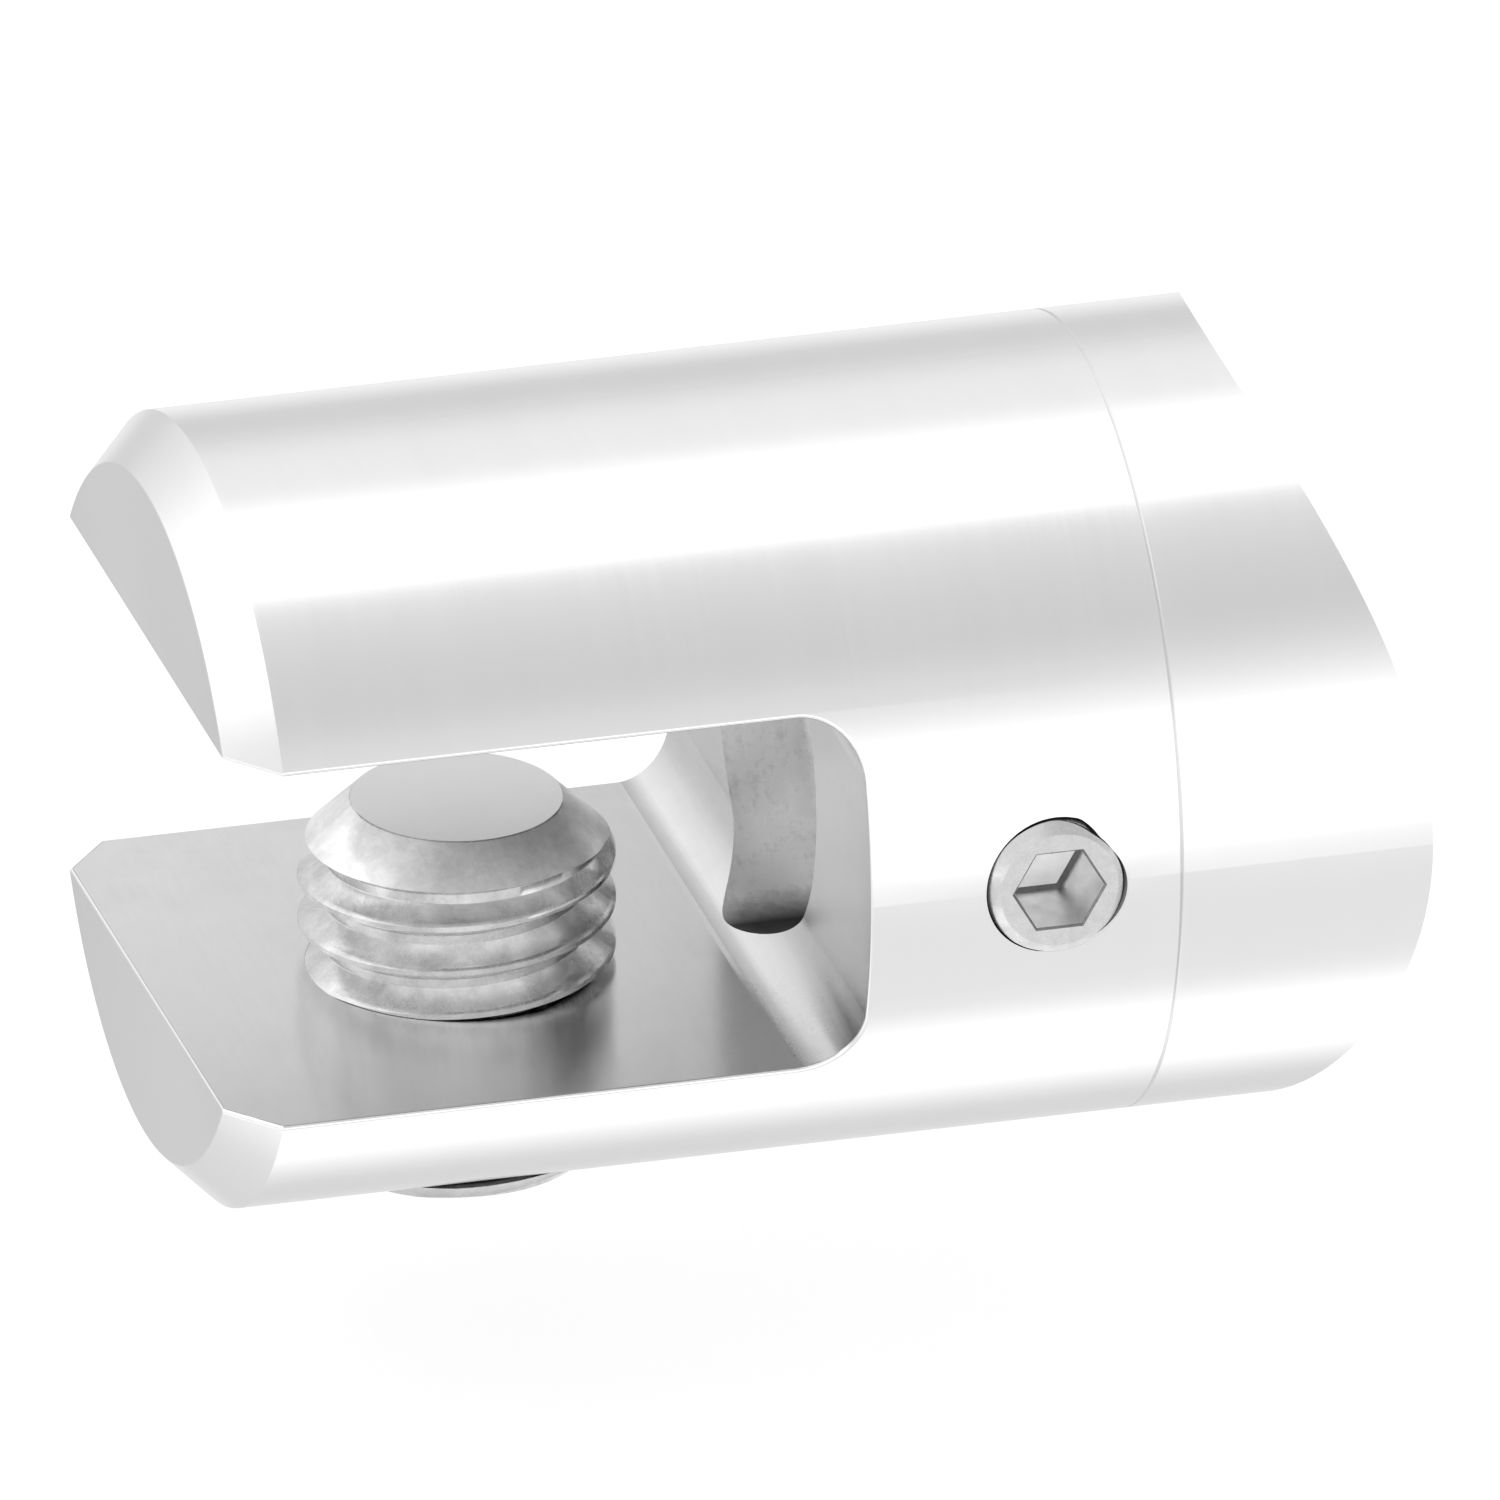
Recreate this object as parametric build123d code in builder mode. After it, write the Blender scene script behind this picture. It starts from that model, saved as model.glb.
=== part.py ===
"""Railing bar holder for a round post.

A turned stainless steel cylinder lies level and stands out from a vertical
post.  Its free half is opened by a slot that runs right across, so that the
cylinder ends in an upper and a lower jaw.  A bar lies in the slot, and a
headless screw, driven up through the lower jaw, presses it against the upper
jaw.  The other end of the cylinder is bored and sits on the spigot of a
separate saddle piece, which is hollowed to the round of the post.  A small
headless screw in the side locks the cylinder on the spigot.

Frame: millimetres, +Z up along the post.  The holder's own axis is the Y axis.
The origin is the bottom of the hollow, where that axis meets the post's skin.
The post stands on the +Y side and the jaws open towards -Y.  The slot runs
along X, and the locking screw enters from +X.
"""

import os

from build123d import *

os.makedirs("parts", exist_ok=True)

# ---------------------------------------------------------------- dimensions
# cylinder and saddle piece
BODY_D = 25.0  # outside diameter of both pieces
BODY_L = 30.0  # length of the slotted cylinder
JAW_CHAMFER = 1.5  # 45 degree chamfer round the free end
POST_D = 42.4  # round post that the saddle piece fits
SADDLE_T = 4.0  # wall of the saddle piece on the axis
SEAM_BREAK = 0.06  # edge break on each side of the joint line
EDGE_BREAK = 0.1  # rounding of the slot's outer edges

# slot between the jaws
SLOT_H = 12.0  # takes a 12 mm bar
SLOT_DEPTH = 20.0
SLOT_R = 2.0  # corner radius at the bottom of the slot

# bore from the bottom of the slot to the joint line
BORE_D = 11.8

# spigot of the saddle piece
SPIGOT_D = 11.7
SPIGOT_L = 7.0
SPIGOT_LEAD = 0.3
GROOVE_R = 4.85  # radius at the bottom of the ring groove
GROOVE_HALF = 1.35  # half of its flat bottom, its flanks are at 45 degrees
FIXING_D = 5.5  # clearance hole for a 5 mm countersunk screw
FIXING_HEAD_D = 10.4  # its 90 degree countersink

# clamping screw: 10 mm thread of 1.5 mm pitch, 12 mm nominal length, flat point
CLAMP_R = 4.94
CLAMP_HOLE_R = 5.0
CLAMP_L = 11.85
CLAMP_FROM_END = 10.0  # its axis, back from the free end
CLAMP_TIP_Z = -0.6  # height of the flat point as assembled
CLAMP_POINT_R = 3.33
CLAMP_POINT_CH = CLAMP_R - CLAMP_POINT_R
CLAMP_BACK_CH = 0.7
CLAMP_HEX_AF = 5.0
CLAMP_HEX_DEEP = 5.0

# locking screw: 5 mm thread of 0.8 mm pitch, 8 mm long, cup point; the hole
# and the screw have the mean diameter of that thread
LOCK_R = 2.25
LOCK_HOLE_R = 2.3
LOCK_L = 7.8
LOCK_FROM_SEAM = 4.0  # its axis, back from the joint line
LOCK_TIP_X = 4.93
LOCK_POINT_R = 1.25
LOCK_POINT_CH = LOCK_R - LOCK_POINT_R
LOCK_CUP = 0.35
LOCK_BACK_CH = 0.22
LOCK_HEX_AF = 2.5
LOCK_HEX_DEEP = 2.9

# stations along the axis
BODY_R = BODY_D / 2
POST_R = POST_D / 2
SPIGOT_R = SPIGOT_D / 2
Y_SEAM = -SADDLE_T
Y_END = Y_SEAM - BODY_L
Y_WALL = Y_END + SLOT_DEPTH
Y_CLAMP = Y_END + CLAMP_FROM_END
Y_LOCK = Y_SEAM - LOCK_FROM_SEAM
Y_SPIGOT = Y_SEAM - SPIGOT_L

# ---------------------------------------------------------------- clamp body
# One turned and milled piece: chamfered free end, slot with rounded corners,
# bore along the axis and the two cross holes.
with BuildPart() as clamp_body:
    with BuildSketch(Plane.XZ.offset(-Y_SEAM)):
        Circle(BODY_R)
    extrude(amount=BODY_L)
    rims = clamp_body.edges().filter_by(GeomType.CIRCLE).sort_by(Axis.Y)
    chamfer(rims[0], length=JAW_CHAMFER)
    rims = clamp_body.edges().filter_by(GeomType.CIRCLE).sort_by(Axis.Y)
    chamfer(rims[-1], length=SEAM_BREAK)
    # slot, drawn on the upright plane through the axis and cut both ways
    with BuildSketch(Plane.YZ) as slot_profile:
        with Locations((Y_END, 0)):
            Rectangle(2 * SLOT_DEPTH, SLOT_H)
        fillet(slot_profile.vertices().group_by(Axis.X)[-1], radius=SLOT_R)
    extrude(amount=BODY_R + 1, both=True, mode=Mode.SUBTRACT)
    # round the slot's outer edges, not the tangent lines of its corner radii
    slot_rims = [
        edge
        for edge in clamp_body.edges(Select.LAST)
        if not (abs(edge.center().X) < 0.01 and edge.center().Y > Y_END + 1)
    ]
    print("slot rims rounded:", len(slot_rims))
    fillet(slot_rims, radius=EDGE_BREAK)
    # bore along the axis, from the joint line into the slot
    with BuildSketch(Plane.XZ.offset(-Y_SEAM)):
        Circle(BORE_D / 2)
    extrude(amount=BODY_L - SLOT_DEPTH + SLOT_R + 0.5, mode=Mode.SUBTRACT)
    # hole for the clamping screw, down through the lower jaw only
    with BuildSketch(Plane.XY):
        with Locations((0, Y_CLAMP)):
            Circle(CLAMP_HOLE_R)
    extrude(amount=-(BODY_R + 1), mode=Mode.SUBTRACT)
    # hole for the locking screw, from the +X side into the bore
    with BuildSketch(Plane.YZ):
        with Locations((Y_LOCK, 0)):
            Circle(LOCK_HOLE_R)
    extrude(amount=BODY_R + 1, mode=Mode.SUBTRACT)
clamp_body.part.label = "clamp_body"

# ---------------------------------------------------------------- saddle piece
# One turned piece: round foot hollowed by the post, spigot with a ring groove,
# and a countersunk clearance hole on the axis.
with BuildPart() as post_saddle:
    with BuildSketch(Plane.XZ.offset(-Y_SEAM)):
        Circle(BODY_R)
    extrude(amount=-(SADDLE_T + 8))
    rims = post_saddle.edges().filter_by(GeomType.CIRCLE).sort_by(Axis.Y)
    chamfer(rims[0], length=SEAM_BREAK)
    with BuildSketch(Plane.XY):
        with Locations((0, POST_R)):
            Circle(POST_R)
    extrude(amount=BODY_R + 1, both=True, mode=Mode.SUBTRACT)
    # spigot with its lead-in and ring groove, turned about the axis
    with BuildSketch(Plane.XY):
        with BuildLine():
            Polyline(
                (0, Y_SEAM + 1),
                (SPIGOT_R, Y_SEAM + 1),
                (SPIGOT_R, Y_LOCK + GROOVE_HALF + SPIGOT_R - GROOVE_R),
                (GROOVE_R, Y_LOCK + GROOVE_HALF),
                (GROOVE_R, Y_LOCK - GROOVE_HALF),
                (SPIGOT_R, Y_LOCK - GROOVE_HALF - SPIGOT_R + GROOVE_R),
                (SPIGOT_R, Y_SPIGOT + SPIGOT_LEAD),
                (SPIGOT_R - SPIGOT_LEAD, Y_SPIGOT),
                (0, Y_SPIGOT),
                close=True,
            )
        make_face()
    revolve(axis=Axis.Y)
    with Locations(Plane(origin=(0, Y_SPIGOT, 0), z_dir=(0, -1, 0))):
        CounterSinkHole(
            radius=FIXING_D / 2,
            counter_sink_radius=FIXING_HEAD_D / 2,
            depth=SPIGOT_L + SADDLE_T + 8,
            counter_sink_angle=90,
        )
post_saddle.part.label = "post_saddle"

# ---------------------------------------------------------------- clamping screw
# Headless screw: flat point upwards, hexagon socket in the lower end.
CLAMP_BACK_Z = CLAMP_TIP_Z - CLAMP_L
with BuildPart() as clamp_screw:
    with BuildSketch(Plane.XZ.offset(-Y_CLAMP)):
        with BuildLine():
            Polyline(
                (0, CLAMP_TIP_Z),
                (CLAMP_POINT_R, CLAMP_TIP_Z),
                (CLAMP_R, CLAMP_TIP_Z - CLAMP_POINT_CH),
                (CLAMP_R, CLAMP_BACK_Z + CLAMP_BACK_CH),
                (CLAMP_R - CLAMP_BACK_CH, CLAMP_BACK_Z),
                (0, CLAMP_BACK_Z),
                close=True,
            )
        make_face()
    revolve(axis=Axis((0, Y_CLAMP, 0), (0, 0, 1)))
    with BuildSketch(
        Plane(origin=(0, Y_CLAMP, CLAMP_BACK_Z), x_dir=(1, 0, 0), z_dir=(0, 0, -1))
    ):
        RegularPolygon(CLAMP_HEX_AF / 2, 6, major_radius=False)
    extrude(amount=-CLAMP_HEX_DEEP, mode=Mode.SUBTRACT)
clamp_screw.part.label = "clamp_screw"

# ---------------------------------------------------------------- locking screw
# Headless screw: cup point in the ring groove, hexagon socket outwards, two
# corners of the hexagon along the holder's axis.
LOCK_END_X = LOCK_TIP_X + LOCK_L
with BuildPart() as lock_screw:
    with BuildSketch(Plane.XY):
        with BuildLine():
            Polyline(
                (LOCK_TIP_X + LOCK_CUP, Y_LOCK),
                (LOCK_TIP_X, Y_LOCK + LOCK_POINT_R),
                (LOCK_TIP_X + LOCK_POINT_CH, Y_LOCK + LOCK_R),
                (LOCK_END_X - LOCK_BACK_CH, Y_LOCK + LOCK_R),
                (LOCK_END_X, Y_LOCK + LOCK_R - LOCK_BACK_CH),
                (LOCK_END_X, Y_LOCK),
                close=True,
            )
        make_face()
    revolve(axis=Axis((0, Y_LOCK, 0), (1, 0, 0)))
    with BuildSketch(
        Plane(origin=(LOCK_END_X, Y_LOCK, 0), x_dir=(0, 1, 0), z_dir=(1, 0, 0))
    ):
        RegularPolygon(LOCK_HEX_AF / 2, 6, major_radius=False)
    extrude(amount=-LOCK_HEX_DEEP, mode=Mode.SUBTRACT)
lock_screw.part.label = "lock_screw"

for piece in (clamp_body, post_saddle, clamp_screw, lock_screw):
    export_step(piece.part, f"parts/{piece.part.label}.step")
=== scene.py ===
"""Looks of the railing bar holder: finishes, screw threads, light and camera.

Metres, in the row frame: +Y along the holder's axis towards the post, +Z up.
"""

import math

import bmesh
import bpy
from mathutils import Matrix, Vector


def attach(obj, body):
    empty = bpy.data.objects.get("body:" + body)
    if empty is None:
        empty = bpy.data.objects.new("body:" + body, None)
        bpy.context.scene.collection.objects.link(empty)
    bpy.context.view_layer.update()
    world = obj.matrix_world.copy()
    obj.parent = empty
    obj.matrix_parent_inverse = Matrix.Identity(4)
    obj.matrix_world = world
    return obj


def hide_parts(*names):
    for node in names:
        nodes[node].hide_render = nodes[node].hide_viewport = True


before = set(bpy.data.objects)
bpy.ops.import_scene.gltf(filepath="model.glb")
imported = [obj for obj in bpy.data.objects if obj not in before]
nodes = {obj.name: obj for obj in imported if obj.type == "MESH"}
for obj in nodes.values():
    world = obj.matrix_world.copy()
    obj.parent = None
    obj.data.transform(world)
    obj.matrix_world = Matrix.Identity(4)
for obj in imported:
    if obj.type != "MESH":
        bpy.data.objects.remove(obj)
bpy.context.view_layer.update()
scene = bpy.context.scene
MM = 0.001

# ------------------------------------------------------------------ camera
# From the right, above and slightly in front of the free end.  The photo shows no
# perspective, so the camera is orthographic.
A, E = math.radians(15.00), math.radians(25.10)
right = Vector((math.sin(A), math.cos(A), 0))
up = Vector((-math.cos(A) * math.sin(E), math.sin(A) * math.sin(E), math.cos(E)))
back = Vector((math.cos(A) * math.cos(E), -math.sin(A) * math.cos(E), math.sin(E)))
FRAME_W = 46.62 * MM  # width of the picture at the middle of the object
target = Vector((0, -34 * MM, 0)) + right * 18.78 * MM + up * 1.99 * MM - back * 2.4 * MM
cam_data = bpy.data.cameras.new("camera")
cam_data.type = "ORTHO"
cam_data.ortho_scale = FRAME_W
cam_data.clip_start, cam_data.clip_end = 0.01, 5.0
cam = bpy.data.objects.new("camera", cam_data)
scene.collection.objects.link(cam)
cam.matrix_world = Matrix.Translation(target + back * 0.5) @ Matrix(
    (right, up, back)
).transposed().to_4x4()
scene.camera = cam
scene.view_settings.view_transform = "Standard"
scene.view_settings.look = "None"

# ------------------------------------------------------------------ light
# A long light tent round the holder's axis, of soft white panels on a pale
# grey cloth.  Its glow is given for each direction round that axis, in degrees:
# 0 is +X, 90 is up, 180 is -X.  POST is its half on the post's side, which the
# cylinder mirrors, and FREE its half beyond the free end, for the end faces.
POST = [
    (-180, 0.90), (-168, 1.02), (-156, 1.06), (-148, 0.95), (-140, 0.80), (-128, 0.79),
    (-120, 0.83), (-113, 0.96), (-107, 1.12), (-101, 1.30), (-96, 1.50), (-76, 1.50),
    (-71, 1.25), (-65, 1.05), (-60, 0.99), (-32, 0.99), (-26, 1.05), (-21, 1.18), (-15, 1.50),
    (19, 1.50), (24, 1.20), (30, 1.01), (36, 0.86), (42, 0.75), (50, 0.69), (60, 0.72),
    (72, 0.78), (79, 0.79), (84, 0.86), (86, 1.50), (113, 1.50), (118, 1.25), (123, 1.03),
    (128, 1.00), (142, 0.99), (150, 0.89), (156, 0.81), (164, 0.74), (172, 0.75), (180, 0.90),
]
FREE = [
    (-180, 0.79), (-165, 0.72), (-150, 0.71), (-135, 0.80), (-110, 0.95), (-100, 1.30),
    (-96, 1.50), (-76, 1.50), (-65, 1.05), (-60, 0.99), (-30, 1.00), (-15, 1.50), (19, 1.50),
    (30, 1.15), (45, 1.05), (70, 1.08), (80, 1.50), (140, 1.50), (148, 1.22), (158, 1.06),
    (168, 0.97), (175, 0.88), (180, 0.79),
]


def glow(profile, angle):
    for (a0, e0), (a1, e1) in zip(profile, profile[1:]):
        if a0 <= angle <= a1:
            return e0 + (e1 - e0) * (angle - a0) / (a1 - a0)
    return profile[-1][1]


def tent(radius=2.4, half=12.0, middle=0.25, steps=720):
    me = bpy.data.meshes.new("light_tent")
    bm = bmesh.new()
    layer = bm.verts.layers.float_color.new("glow")
    rows = []
    for i in range(steps):
        a = -180 + 360 * i / steps
        row = []
        for y, profile in ((-half, FREE), (-middle, FREE), (middle, POST), (half, POST)):
            e = glow(profile, a)
            v = bm.verts.new((radius * math.cos(math.radians(a)), y, radius * math.sin(math.radians(a))))
            v[layer] = (e, e, e, 1)
            row.append(v)
        rows.append(row)
    for i in range(steps):
        p, q = rows[i], rows[(i + 1) % steps]
        for k in range(3):
            bm.faces.new((p[k], p[k + 1], q[k + 1], q[k]))
    bm.to_mesh(me)
    bm.free()
    mat = bpy.data.materials.new("light_tent")
    mat.use_nodes = True
    nt = mat.node_tree
    nt.nodes.clear()
    out = nt.nodes.new("ShaderNodeOutputMaterial")
    em = nt.nodes.new("ShaderNodeEmission")
    at = nt.nodes.new("ShaderNodeAttribute")
    at.attribute_name = "glow"
    nt.links.new(at.outputs["Color"], em.inputs["Color"])
    nt.links.new(em.outputs[0], out.inputs["Surface"])
    me.materials.append(mat)
    ob = bpy.data.objects.new("light_tent", me)
    scene.collection.objects.link(ob)
    ob.visible_camera = False
    ob.visible_shadow = False
    return ob


tent()

world = bpy.data.worlds.new("studio")
world.use_nodes = True
world.node_tree.nodes["Background"].inputs["Color"].default_value = (1, 1, 1, 1)
world.node_tree.nodes["Background"].inputs["Strength"].default_value = 1.0
scene.world = world


def floor(z=-18.6 * MM, half=4.0):
    """A pale, brightly lit floor, low enough for the clamping screw's whole travel."""
    me = bpy.data.meshes.new("floor")
    me.from_pydata([(-half, -half, z), (half, -half, z), (half, half, z), (-half, half, z)], [], [(0, 1, 2, 3)])
    mat = bpy.data.materials.new("floor")
    mat.use_nodes = True
    p = mat.node_tree.nodes["Principled BSDF"]
    p.inputs["Base Color"].default_value = (0.30, 0.30, 0.30, 1)
    p.inputs["Roughness"].default_value = 0.9
    p.inputs["Specular IOR Level"].default_value = 0.0
    p.inputs["Emission Color"].default_value = (1, 1, 1, 1)
    p.inputs["Emission Strength"].default_value = 0.76
    me.materials.append(mat)
    ob = bpy.data.objects.new("floor", me)
    scene.collection.objects.link(ob)
    ob.visible_glossy = False
    return ob


floor()


# ------------------------------------------------------------------ materials
class Net:
    """Small helper to write node trees."""

    def __init__(self, name):
        self.mat = bpy.data.materials.new(name)
        self.mat.use_nodes = True
        self.nt = self.mat.node_tree
        self.p = self.nt.nodes["Principled BSDF"]

    def add(self, kind, **props):
        n = self.nt.nodes.new("ShaderNode" + kind)
        for k, v in props.items():
            setattr(n, k, v)
        return n

    def link(self, a, b):
        self.nt.links.new(a, b)

    def math(self, op, a, b=None, c=None):
        n = self.add("Math", operation=op)
        for i, v in enumerate((a, b, c)):
            if v is None:
                continue
            if isinstance(v, (int, float)):
                n.inputs[i].default_value = v
            else:
                self.link(v, n.inputs[i])
        return n.outputs[0]

    def xyz(self):
        tc = self.add("TexCoord")
        s = self.add("SeparateXYZ")
        self.link(tc.outputs["Object"], s.inputs[0])
        return tc.outputs["Object"], s.outputs[0], s.outputs[1], s.outputs[2]

    def combine(self, x, y, z):
        c = self.add("CombineXYZ")
        for i, v in enumerate((x, y, z)):
            if isinstance(v, (int, float)):
                c.inputs[i].default_value = v
            else:
                self.link(v, c.inputs[i])
        return c.outputs[0]

    def noise(self, vector, scale, detail=3.0, rough=0.55, distortion=0.0):
        n = self.add("TexNoise")
        self.link(vector, n.inputs["Vector"])
        n.inputs["Scale"].default_value = scale
        n.inputs["Detail"].default_value = detail
        n.inputs["Roughness"].default_value = rough
        n.inputs["Distortion"].default_value = distortion
        return n.outputs["Fac"]

    def spread(self, value, low, high, a=0.3, b=0.7):
        """Value from a..b to low..high."""
        m = self.add("MapRange")
        self.link(value, m.inputs["Value"])
        m.inputs["From Min"].default_value = a
        m.inputs["From Max"].default_value = b
        m.inputs["To Min"].default_value = low
        m.inputs["To Max"].default_value = high
        return m.outputs[0]

    def tint(self, value, colour):
        """Grey value times a tint, into Base Color."""
        m = self.add("VectorMath", operation="SCALE")
        m.inputs[0].default_value = colour
        self.link(value, m.inputs["Scale"])
        self.link(m.outputs[0], self.p.inputs["Base Color"])

    def bump(self, height, strength, distance):
        b = self.add("Bump")
        b.inputs["Strength"].default_value = strength
        b.inputs["Distance"].default_value = distance
        self.link(height, b.inputs["Height"])
        self.link(b.outputs[0], self.p.inputs["Normal"])


def turned(name, base=0.80, rough=0.25, streak=0.006):
    """Fine brushing round the Y axis: rings on the ends, hoops on the outside."""
    n = Net(name)
    pos, x, y, z = n.xyz()
    r = n.math("SQRT", n.math("ADD", n.math("MULTIPLY", x, x), n.math("MULTIPLY", z, z)))
    along = n.math("ADD", y, n.math("MULTIPLY", r, 1.3))
    hoops = n.combine(n.math("MULTIPLY", along, 9000.0), n.math("MULTIPLY", x, 90.0), n.math("MULTIPLY", z, 90.0))
    fine = n.noise(hoops, 1.0, 4.0, 0.6)
    wide = n.noise(n.combine(n.math("MULTIPLY", along, 700.0), n.math("MULTIPLY", x, 60.0), n.math("MULTIPLY", z, 60.0)), 1.0, 2.0, 0.5)
    blotch = n.noise(pos, 160.0, 2.0, 0.5)
    f = n.math("ADD", n.spread(fine, -streak, streak), n.spread(wide, -streak * 0.8, streak * 0.8))
    f = n.math("ADD", f, n.spread(blotch, -0.006, 0.006))
    n.tint(n.math("ADD", f, 1.0), (base, base, base * 1.004))
    n.link(n.math("ADD", n.spread(fine, rough - 0.010, rough + 0.010), n.spread(wide, -0.008, 0.008)), n.p.inputs["Roughness"])
    n.p.inputs["Metallic"].default_value = 1.0
    n.p.inputs["Anisotropic"].default_value = 0.88
    n.p.inputs["Anisotropic Rotation"].default_value = 0.25
    t = n.add("Tangent", direction_type="RADIAL", axis="Y")
    n.link(t.outputs[0], n.p.inputs["Tangent"])
    return n.mat


def milled(name, base=0.78, rough=0.22, speck=0.03, along=0.80, inner_shade=0.0, edge=0.0):
    """Flat milled faces: cutter lines along X, dull and a little cloudy, optionally with painted shade."""
    n = Net(name)
    pos, x, y, z = n.xyz()
    lines = n.noise(n.combine(n.math("MULTIPLY", x, 350.0), n.math("MULTIPLY", y, 5200.0), n.math("MULTIPLY", z, 5200.0)), 1.0, 3.0, 0.6)
    cloud = n.noise(pos, 420.0, 4.0, 0.6)
    grain = n.noise(pos, 3600.0, 3.0, 0.7)
    f = n.math("ADD", n.spread(cloud, -speck, speck), n.spread(grain, -speck * 0.4, speck * 0.4))
    f = n.math("ADD", f, n.spread(lines, -speck * 0.4, speck * 0.4))
    # Painted shade: darker towards y = -16 mm, further into the slot under the upper jaw.
    f = n.math("ADD", f, n.spread(y, 1.0, 1.0 - inner_shade, -31 * MM, -16 * MM))
    # Painted shade: darker towards z = -6 mm, where a corner fillet meets the slot floor.
    f = n.math("MULTIPLY", f, n.spread(z, 1.0 - edge, 1.0, -6.0 * MM, -5.83 * MM))
    n.tint(f, (base, base, base))
    n.link(n.math("ADD", n.spread(cloud, rough - 0.03, rough + 0.03), n.spread(grain, -0.02, 0.02)), n.p.inputs["Roughness"])
    n.p.inputs["Metallic"].default_value = 1.0
    if along:
        n.p.inputs["Anisotropic"].default_value = along
        t = n.add("Tangent", direction_type="RADIAL", axis="Y")
        n.link(t.outputs[0], n.p.inputs["Tangent"])
    n.bump(n.math("ADD", lines, n.math("MULTIPLY", grain, 0.4)), 0.04, 0.00001)
    return n.mat


def bored(name, base=0.90, rough=0.36, bottom_shade=True):
    """Drilled and tapped holes: dull and speckled, optionally with painted shade at the bottom."""
    n = Net(name)
    pos, x, y, z = n.xyz()
    rings = n.noise(n.combine(n.math("MULTIPLY", x, 500.0), n.math("MULTIPLY", y, 3200.0), n.math("MULTIPLY", z, 500.0)), 1.0, 3.0, 0.6)
    stain = n.noise(pos, 2100.0, 4.0, 0.7)
    f = n.math("ADD", n.spread(rings, -0.07, 0.07), n.spread(stain, -0.20, 0.20))
    f = n.math("MULTIPLY", n.math("ADD", f, 1.0), base)
    # Painted shade: below z = -4 mm the wall darkens on its +X side, to nearly black below z = -5.2 mm.
    if bottom_shade:
        low = n.math("MAXIMUM", n.spread(x, 1.0, 0.02, -1.5 * MM, 0.5 * MM), n.spread(z, 0.0, 1.0, -5.2 * MM, -4.0 * MM))
        f = n.math("MULTIPLY", f, low)
    n.tint(f, (1.0, 1.0, 1.0))
    n.link(n.spread(stain, rough - 0.06, rough + 0.08), n.p.inputs["Roughness"])
    n.p.inputs["Metallic"].default_value = 1.0
    n.bump(n.math("ADD", rings, stain), 0.25, 0.00002)
    return n.mat


def screw_steel(name, base=0.74, rough=0.26, stain_scale=900.0, amount=0.12, dents=0.35):
    """Rolled and cut screw surface: brighter and darker spots, small dents."""
    n = Net(name)
    pos, x, y, z = n.xyz()
    stain = n.noise(pos, stain_scale, 4.0, 0.6, 0.4)
    fine = n.noise(pos, stain_scale * 4.5, 3.0, 0.7)
    f = n.math("ADD", n.spread(stain, -amount, amount), n.spread(fine, -amount * 0.5, amount * 0.5))
    n.tint(n.math("ADD", f, 1.0), (base, base, base))
    n.link(n.math("ADD", n.spread(stain, rough + 0.08, rough - 0.08), n.spread(fine, -0.05, 0.05)), n.p.inputs["Roughness"])
    n.p.inputs["Metallic"].default_value = 1.0
    n.bump(n.math("ADD", stain, n.math("MULTIPLY", fine, 0.3)), dents, 0.00003)
    return n.mat


MAT_TURNED = turned("turned_steel")
MAT_SEAM = turned("turned_steel_joint_edge", base=0.71)
# Painted shade: the slot floor darkens further into the slot, towards y = -16 mm.
MAT_MILLED = milled("milled_steel", inner_shade=0.14)
# Painted shade: the upper jaw's underside, which faces down into the slot, is a darker copy of the milled steel.
MAT_UNDER_SHADED = milled("milled_steel_upper_jaw_painted_shade", base=0.60, rough=0.26)
MAT_WALL = milled("milled_steel_wall", base=0.64, rough=0.23, along=0)
# Painted shade: the slot's corner fillets darken towards the slot floor.
MAT_CORNER = milled("milled_steel_corner_painted_shade", base=0.69, rough=0.25, along=0, edge=0.26)
# Painted shade: the bore goes dark on its +X side towards its bottom.
MAT_BORED = bored("bored_steel", base=0.98)
# Painted shade: the tapped hole walls are nearly black.
MAT_TAPPED_SHADED = bored("tapped_steel_painted_shade", base=0.16, rough=0.42, bottom_shade=False)
MAT_THREAD = screw_steel("screw_thread_steel", base=0.60, rough=0.24, amount=0.14)
MAT_POINT = milled("screw_point_steel", base=0.79, rough=0.23, speck=0.012, along=0)
MAT_CHAMFER = screw_steel("screw_chamfer_steel", base=0.88, rough=0.40, amount=0.12, dents=0.5)
MAT_SHADE = screw_steel("screw_thread_underside", base=0.80, rough=0.30, amount=0.12)
MAT_RING = screw_steel("screw_ring_steel", base=0.60, rough=0.30, stain_scale=2200.0, amount=0.07)
MAT_SOCKET = screw_steel("socket_steel", base=0.84, rough=0.38, stain_scale=1500.0, amount=0.04)
# Painted shade: nearly black steel for the narrow strips round the sockets' floors and part of the locking screw's
# socket mouth.
MAT_SOCKET_SHADE = screw_steel("socket_painted_shade", base=0.24, rough=0.45, stain_scale=2500.0, amount=0.15)
# Painted shadow: nearly black steel for the thread where it sits in the dark gap at a hole's mouth.
MAT_THREAD_SHADOW = screw_steel("thread_painted_shadow", base=0.13, rough=0.45, stain_scale=1500.0, amount=0.15)

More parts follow.
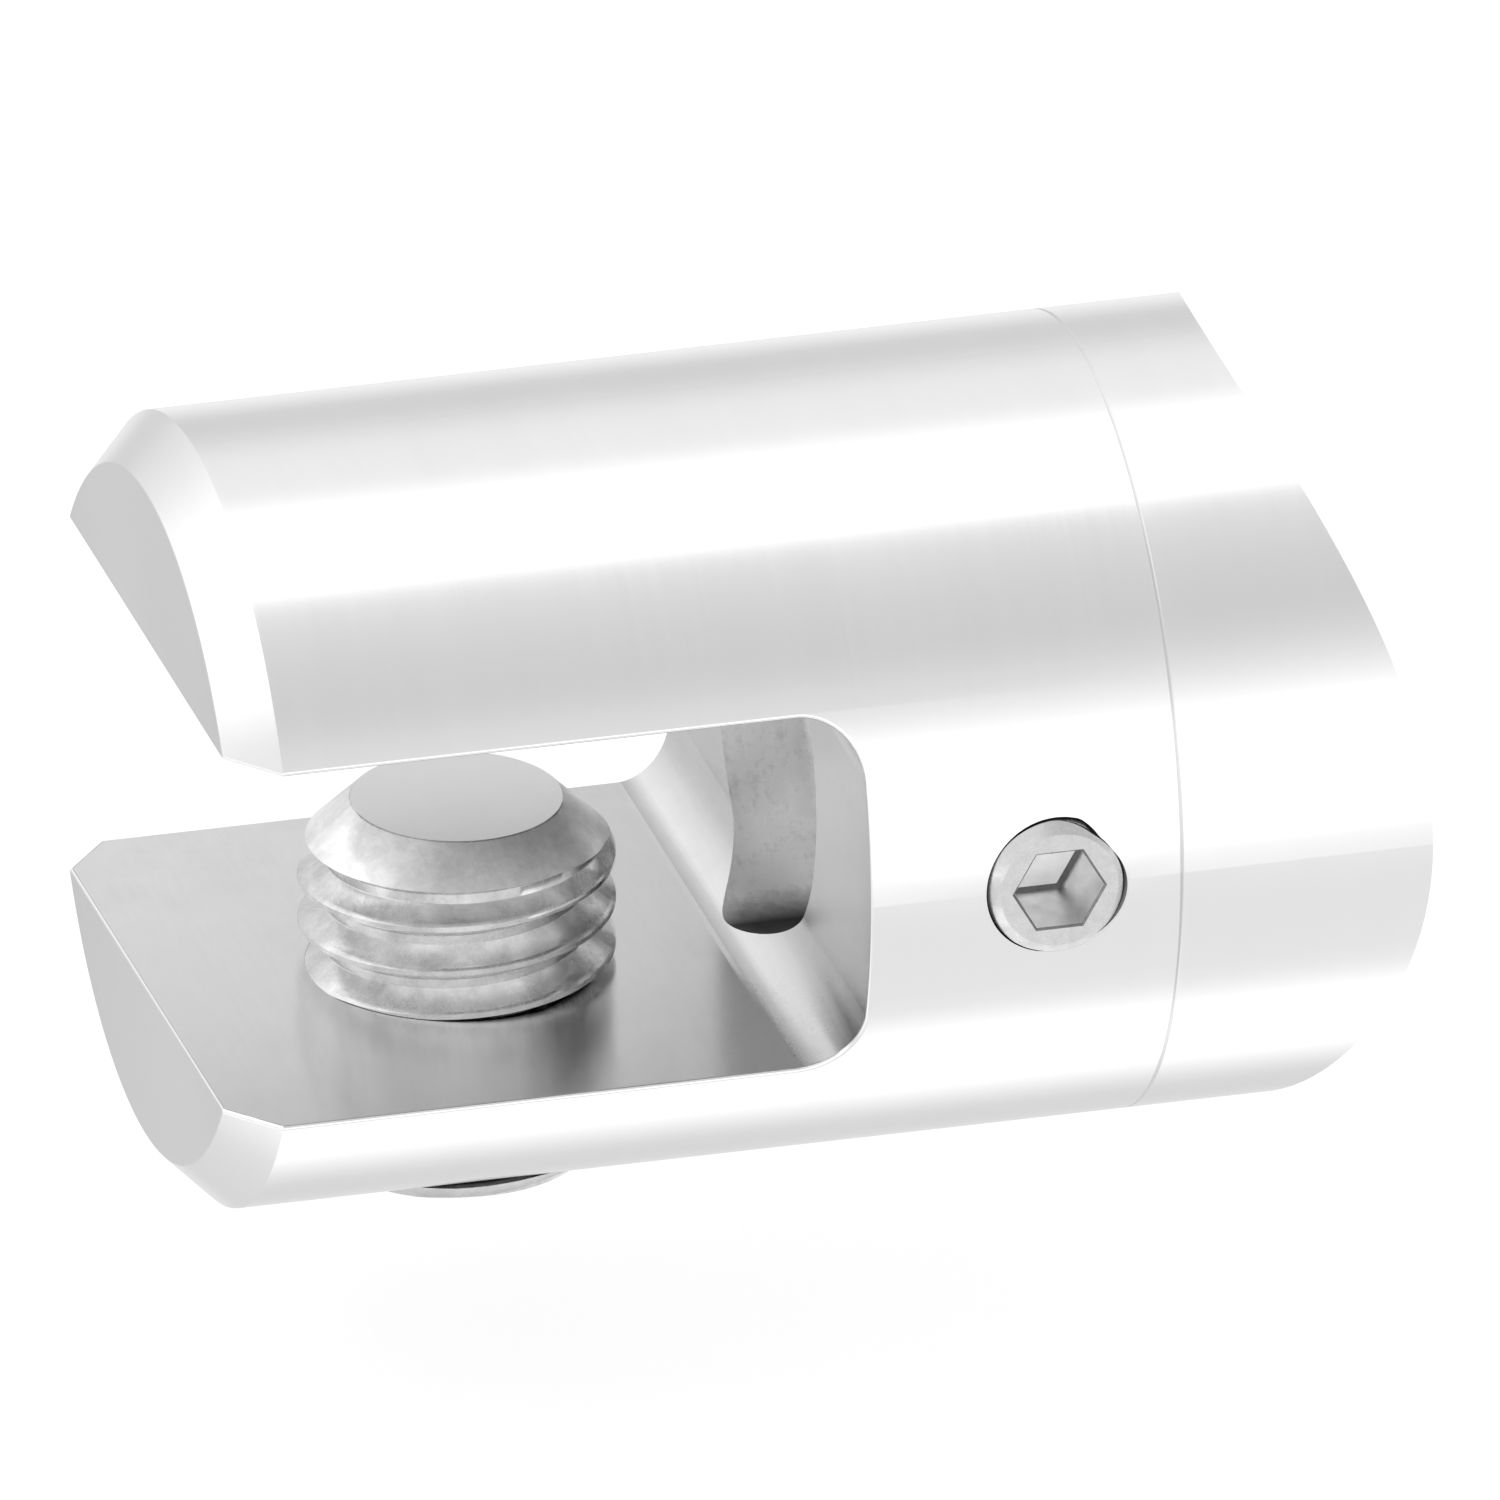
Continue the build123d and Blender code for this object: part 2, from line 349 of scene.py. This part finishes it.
# ------------------------------------------------------------------ CAD nodes
body = nodes["clamp_body"]
body.data.materials.clear()
for m in (MAT_TURNED, MAT_MILLED, MAT_BORED, MAT_TAPPED_SHADED, MAT_UNDER_SHADED, MAT_WALL, MAT_CORNER):
    body.data.materials.append(m)
for poly in body.data.polygons:
    pts = [body.data.vertices[i].co / MM for i in poly.vertices]
    c, nrm = poly.center / MM, poly.normal
    if c.z < -6 and all(abs(math.hypot(p.x, p.y + 24) - 5.0) < 0.02 for p in pts):
        k = 3  # clamping screw's hole
    elif c.x > 5 and all(abs(math.hypot(p.y + 8, p.z) - 2.3) < 0.02 for p in pts):
        k = 3  # locking screw's hole
    elif all(abs(math.hypot(p.x, p.z) - 5.9) < 0.02 for p in pts) and abs(nrm.y) < 0.1:
        k = 2  # bore
    elif math.hypot(c.x, c.z) > 12.2 and all(math.hypot(p.x, p.z) > 12.3 for p in pts):
        k = 0  # outside
    elif all(p.y < -32.45 for p in pts) and abs(nrm.z) < 0.98:
        k = 0  # chamfer and end faces
    elif c.y > -4.2:
        k = 0  # joint face
    else:
        k = 4 if nrm.z < -0.999 else 1 if nrm.z > 0.999 else 5 if nrm.y < -0.999 else 6  # slot
    poly.material_index = k

saddle = nodes["post_saddle"]
saddle.data.materials.clear()
for m in (MAT_TURNED, MAT_WALL, MAT_TAPPED_SHADED, MAT_SEAM):
    saddle.data.materials.append(m)
for poly in saddle.data.polygons:
    c = poly.center / MM
    r = math.hypot(c.x, c.z)
    k = 0
    if math.hypot(c.x, c.y - 21.2) < 21.3 and c.y > -3.9 and r < 12.45:
        k = 1  # hollow
    pts = [saddle.data.vertices[i].co / MM for i in poly.vertices]
    if all(abs(math.hypot(p.x, p.z) - 2.75) < 0.02 for p in pts):
        k = 2  # fixing hole
    if c.y < -3.93 and r > 12.4 and 0.5 < -poly.normal.y < 0.9:
        k = 3  # edge break at the joint line
    poly.material_index = k


# ------------------------------------------------------------------ screws
def new_object(name, me, link=True):
    ob = bpy.data.objects.new(name, me)
    if link:
        scene.collection.objects.link(ob)
    return ob


def lathe(name, outline, seg):
    """Closed solid round Z from an outline of (r, z) that starts and ends at r = 0."""
    bm = bmesh.new()
    rings = []
    for r, z in outline:
        if r == 0:
            rings.append([bm.verts.new((0, 0, z))])
        else:
            rings.append([bm.verts.new((r * math.cos(2 * math.pi * i / seg), r * math.sin(2 * math.pi * i / seg), z)) for i in range(seg)])
    for p, q in zip(rings, rings[1:]):
        for i in range(seg):
            j = (i + 1) % seg
            if len(p) == 1:
                bm.faces.new((p[0], q[i], q[j]))
            elif len(q) == 1:
                bm.faces.new((p[i], q[0], p[j]))
            else:
                bm.faces.new((p[i], q[i], q[j], p[j]))
    bmesh.ops.recalc_face_normals(bm, faces=bm.faces)
    me = bpy.data.meshes.new(name)
    bm.to_mesh(me)
    bm.free()
    return me


def thread(name, profile, pitch, low, high, seg, phase, ends=None):
    """Right-hand thread round Z as a closed solid from z = low to high.

    profile is one pitch of (dz, r) with dz rising from 0; z = 0 of the profile
    lies at z = phase + pitch * turns.  With ends = (a, b), the groove is full
    where its middle lies below a and has run out where it lies above b.
    """
    crest = max(r for dz, r in profile)
    rows = len(profile)
    first = math.floor((low - phase) / pitch) - 2
    last = math.ceil((high - phase) / pitch) + 2
    bm = bmesh.new()
    grid = []
    for k in range(first, last):
        for dz, r in profile:
            row = []
            for i in range(seg):
                start = phase + pitch * (k + i / seg)
                rr = r
                if ends:
                    t = (ends[1] - (start + pitch / 2)) / (ends[1] - ends[0])
                    t = min(1.0, max(0.0, t))
                    rr = crest - (crest - r) * t * t * (3 - 2 * t)
                a = 2 * math.pi * i / seg
                row.append(bm.verts.new((rr * math.cos(a), rr * math.sin(a), start + dz)))
            grid.append(row)
    for j in range(len(grid) - 1):
        for i in range(seg):
            if i + 1 < seg:
                a, b, c, d = grid[j][i], grid[j][i + 1], grid[j + 1][i + 1], grid[j + 1][i]
            elif j + 1 + rows < len(grid):
                a, b, c, d = grid[j][i], grid[j + rows][0], grid[j + 1 + rows][0], grid[j + 1][i]
            else:
                continue
            bm.faces.new((a, b, c, d))
    for co, no in (((0, 0, low), (0, 0, -1)), ((0, 0, high), (0, 0, 1))):
        cut = bmesh.ops.bisect_plane(
            bm, geom=bm.verts[:] + bm.edges[:] + bm.faces[:], plane_co=co, plane_no=no, clear_outer=True, dist=1e-9
        )
        rim = [g for g in cut["geom_cut"] if isinstance(g, bmesh.types.BMEdge)]
        bmesh.ops.holes_fill(bm, edges=rim, sides=0)
    bmesh.ops.recalc_face_normals(bm, faces=bm.faces)
    me = bpy.data.meshes.new(name)
    bm.to_mesh(me)
    bm.free()
    return me


def hex_stack(name, rings):
    """Closed hexagonal cutter from rings of (half the width across flats, z)."""
    bm = bmesh.new()
    rows = []
    for half, z in rings:
        r = half / math.cos(math.pi / 6)
        rows.append([bm.verts.new((r * math.cos(math.pi / 3 * i), r * math.sin(math.pi / 3 * i), z)) for i in range(6)])
    for p, q in zip(rows, rows[1:]):
        for i in range(6):
            j = (i + 1) % 6
            bm.faces.new((p[i], p[j], q[j], q[i]))
    bm.faces.new(rows[0])
    bm.faces.new(rows[-1])
    bmesh.ops.recalc_face_normals(bm, faces=bm.faces)
    me = bpy.data.meshes.new(name)
    bm.to_mesh(me)
    bm.free()
    return me


def combine(name, base, *steps):
    """Mesh of base after each (operation, mesh) in turn."""
    ob = new_object(name, base)
    helpers = []
    for op, other in steps:
        h = new_object(name + "_cut", other)
        helpers.append(h)
        m = ob.modifiers.new(op, "BOOLEAN")
        m.operation, m.object, m.solver = op, h, "EXACT"
    dg = bpy.context.evaluated_depsgraph_get()
    me = bpy.data.meshes.new_from_object(ob.evaluated_get(dg), depsgraph=dg)
    for o in [ob, *helpers]:
        old = o.data
        bpy.data.objects.remove(o)
        bpy.data.meshes.remove(old)
    me.name = name
    return me


def crisp(me, angle=28.0, join=2e-7):
    """Smooth shading that breaks at edges sharper than the angle."""
    bm = bmesh.new()
    bm.from_mesh(me)
    bmesh.ops.remove_doubles(bm, verts=bm.verts, dist=join)
    bmesh.ops.dissolve_degenerate(bm, edges=bm.edges, dist=join)
    limit = math.radians(angle)
    for f in bm.faces:
        f.smooth = True
    for e in bm.edges:
        e.smooth = not (len(e.link_faces) == 2 and e.calc_face_angle(0) > limit)
    bm.to_mesh(me)
    bm.free()


def scaled(me, matrix):
    me.transform(matrix @ Matrix.Scale(MM, 4))
    me.update()
    return me


def v_profile(pitch, crest_r, root_r, crest_half, soft=0.03, strip=None):
    """One pitch of a 60 degree thread, crest at dz = 0 and at dz = pitch."""
    deep = crest_r - root_r
    root_at = crest_half + deep * math.tan(math.radians(30))
    t = math.tan(math.radians(30))
    pts = [
        (0.0, crest_r),
        (crest_half - soft * 0.6, crest_r),
        (crest_half + soft * t, crest_r - soft),
        *([(crest_half + strip * t, crest_r - strip)] if strip else []),
        (root_at - soft * t, root_r + soft),
        (root_at + soft * 0.6, root_r),
    ]
    full = pts + [(pitch - dz, r) for dz, r in reversed(pts[1:])]
    return full


def lean(profile, down):
    """The same profile moved down its axis, still one pitch from first to last point."""
    pitch = profile[-1][0] + profile[1][0]
    moved = sorted(((dz - down) % pitch, r) for dz, r in profile)
    return moved


# clamping screw, M10 x 1.5, drawn about Z and moved to y = -24
TIP, LEN = -0.60, 11.85
SEG = 160
T_PHASE = -1.31
male = thread("clamp_thread", v_profile(1.5, 4.96, 4.10, 0.09, strip=0.16), 1.5, TIP - LEN - 0.6, TIP + 0.6, SEG, T_PHASE, (-2.53, -1.26))
hull = lathe(
    "clamp_hull",
    [(0, TIP), (3.30, TIP), (3.35, TIP - 0.03), (5.3, TIP - 0.03 - 1.95), (5.3, TIP - LEN + 1.06), (4.24, TIP - LEN), (0, TIP - LEN)],
    SEG,
)
af = 5.0
LOW = TIP - LEN
hexa = hex_stack("clamp_hex", [(af / 2, LOW - 1), (af / 2, LOW + 4.85), (af / 2 - 0.15, LOW + 5.0)])
mouth = lathe(
    "clamp_hex_mouth",
    [(0, TIP - LEN - 1), (af / 2 + 0.42 + 1, TIP - LEN - 1), (af / 2 - 0.02, TIP - LEN + 0.44), (0, TIP - LEN + 0.44)],
    SEG,
)
clamp_me = combine("clamp_screw_threaded", male, ("INTERSECT", hull), ("DIFFERENCE", hexa), ("DIFFERENCE", mouth))
crisp(clamp_me)
for m in (MAT_THREAD, MAT_POINT, MAT_SOCKET, MAT_SOCKET_SHADE, MAT_THREAD_SHADOW, MAT_CHAMFER, MAT_SHADE):
    clamp_me.materials.append(m)
for poly in clamp_me.polygons:
    c = poly.center
    poly.material_index = 0
    if poly.normal.z > 0.99 and c.z > TIP - 0.02:
        poly.material_index = 1
    elif math.hypot(c.x, c.y) < 3.0 and c.z < TIP - 1:
        # Painted shade: the narrow slanted strip round the socket's floor is nearly black.
        poly.material_index = 3 if 0.3 < abs(poly.normal.z) < 0.95 and c.z > LOW + 4.8 else 2
    elif poly.normal.z < -0.99 and c.z < LOW + 0.02:
        poly.material_index = 1
    elif c.z > TIP - 1.7 and 0.68 < poly.normal.z < 0.74:
        poly.material_index = 5
    # Painted shadow: the upward faces of the last groove, below z = -10.9 mm at the body's underside, are nearly black.
    elif c.z < -10.9 and poly.normal.z > 0.2:
        poly.material_index = 4 if math.hypot(c.x, c.y) < 4.80 else 0
    elif poly.normal.z < -0.2 and c.z > -10.9:
        poly.material_index = 6
scaled(clamp_me, Matrix.Translation((0, -24 * MM, 0)))
clamp_screw = new_object("clamp_screw_threaded", clamp_me)
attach(clamp_screw, "clamp_screw")
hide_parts("clamp_screw")

# tapped wall of the clamping screw's hole
tap = thread("clamp_tap", lean(v_profile(1.5, 4.985, 4.34, 0.15), 0.068), 1.5, -13.0, -5.0, SEG, T_PHASE)
ring = lathe("clamp_ring", [(0, -11.3), (5.02, -11.3), (5.02, -6.004), (0, -6.004)], SEG)
lead_low = lathe("clamp_lead_low", [(0, -12.2), (5.4, -12.2), (4.24, -11.04), (0, -11.04)], SEG)
# A notch at 15 degrees round the hole's mouth, lined with the nearly black tapped steel as painted shade.
nick = lathe("clamp_nick", [(0, -6.8), (1.40, -6.8), (1.40, -5.5), (0, -5.5)], 64)
nick.transform(Matrix.Translation((3.58 * math.cos(math.radians(15)), 3.58 * math.sin(math.radians(15)), 0)))
tap_me = combine("clamp_hole_thread", ring, ("DIFFERENCE", nick), ("DIFFERENCE", lead_low), ("DIFFERENCE", tap))
crisp(tap_me)
tap_me.materials.append(MAT_TAPPED_SHADED)
tap_me.materials.append(MAT_MILLED)
for poly in tap_me.polygons:
    c = poly.center
    if c.z > -6.01 and poly.normal.z > 0.99:
        poly.material_index = 1
    # Painted shade: near the mouth, the nearly black tapped steel stays only between -35 and 70 degrees round the hole;
    # elsewhere the ring is milled steel.
    elif c.z > -6.4 and not -35 < math.degrees(math.atan2(c.y, c.x)) < 70:
        poly.material_index = 1
scaled(tap_me, Matrix.Translation((0, -24 * MM, 0)))
clamp_tap = new_object("clamp_hole_thread", tap_me)
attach(clamp_tap, "head")

# locking screw, M5 x 0.8, drawn about Z (outwards) and turned so that Z is +X
L_TIP, L_LEN, L_END = 4.93, 7.8, 12.73
LSEG = 128
L_PHASE = 11.942
l_male = thread("lock_thread", v_profile(0.8, 2.24, 1.95, 0.12, 0.02), 0.8, L_TIP - 0.5, L_END + 0.5, LSEG, L_PHASE, (12.42, 12.56))
l_hull = lathe(
    "lock_hull",
    [(0, L_TIP + 0.35), (1.25, L_TIP), (2.6, L_TIP + 1.35), (2.6, L_END - 0.71), (1.89, L_END), (0, L_END)],
    LSEG,
)
l_half = 1.25
l_hex = hex_stack(
    "lock_hex",
    [(l_half + 0.57, L_END + 0.5), (l_half, L_END - 0.07), (l_half, L_END - 2.66), (l_half - 0.14, L_END - 2.8)],
)
lock_me = combine("lock_screw_threaded", l_male, ("INTERSECT", l_hull), ("DIFFERENCE", l_hex))
crisp(lock_me)
for m in (MAT_THREAD_SHADOW, MAT_RING, MAT_SOCKET, MAT_SOCKET_SHADE, MAT_THREAD):
    lock_me.materials.append(m)
for poly in lock_me.polygons:
    c = poly.center
    slant = 0.3 < abs(poly.normal.z) < 0.95
    # Painted shadow: the thread's outer 1.3 mm, in the gap at the hole's mouth, is nearly black.
    poly.material_index = 0 if c.z > L_END - 1.3 else 4
    if poly.normal.z > 0.99 and c.z > L_END - 0.02:
        poly.material_index = 1
    elif math.hypot(c.x, c.y) < 1.5 and c.z > L_END - 3.3:
        # Painted shade: the slanted strip round the socket's floor, and the mouth's chamfer on its lower side and
        # post-side facet, are nearly black.
        low_side = math.sin(math.atan2(c.y, c.x)) < -0.1 or c.x > 0.8 and c.y > 0
        poly.material_index = 3 if slant and (c.z < L_END - 1 or low_side) else 2
    elif slant and c.z > L_END - 0.5:
        poly.material_index = 1
# drawn X -> Y, drawn Y -> Z, drawn Z -> X
TO_X = Matrix(((0, 0, 1, 0), (1, 0, 0, -8 * MM), (0, 1, 0, 0), (0, 0, 0, 1)))
scaled(lock_me, TO_X)
lock_screw = new_object("lock_screw_threaded", lock_me)
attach(lock_screw, "lock_screw")
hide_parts("lock_screw")

# tapped wall of the locking screw's hole, ending on the outside of the cylinder
l_tap = thread("lock_tap", v_profile(0.8, 2.296, 2.04, 0.21, 0.015), 0.8, 5.0, 13.5, LSEG, L_PHASE)
l_ring = lathe("lock_ring", [(0, 6.3), (2.315, 6.3), (2.315, 13.0), (0, 13.0)], LSEG)
skin = lathe("lock_skin", [(0, -6), (12.497, -6), (12.497, 6), (0, 6)], 512)
skin.transform(Matrix(((0, 0, 1, 0), (1, 0, 0, 0), (0, 1, 0, 0), (0, 0, 0, 1))))
l_tap_me = combine("lock_hole_thread", l_ring, ("DIFFERENCE", l_tap), ("INTERSECT", skin))
crisp(l_tap_me)
l_tap_me.materials.append(MAT_TAPPED_SHADED)
l_tap_me.materials.append(MAT_TURNED)
for poly in l_tap_me.polygons:
    c = poly.center
    if math.hypot(c.z, c.y) > 12.45 and poly.normal.z > 0.9:
        poly.material_index = 1
scaled(l_tap_me, TO_X)
lock_tap = new_object("lock_hole_thread", l_tap_me)
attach(lock_tap, "head")
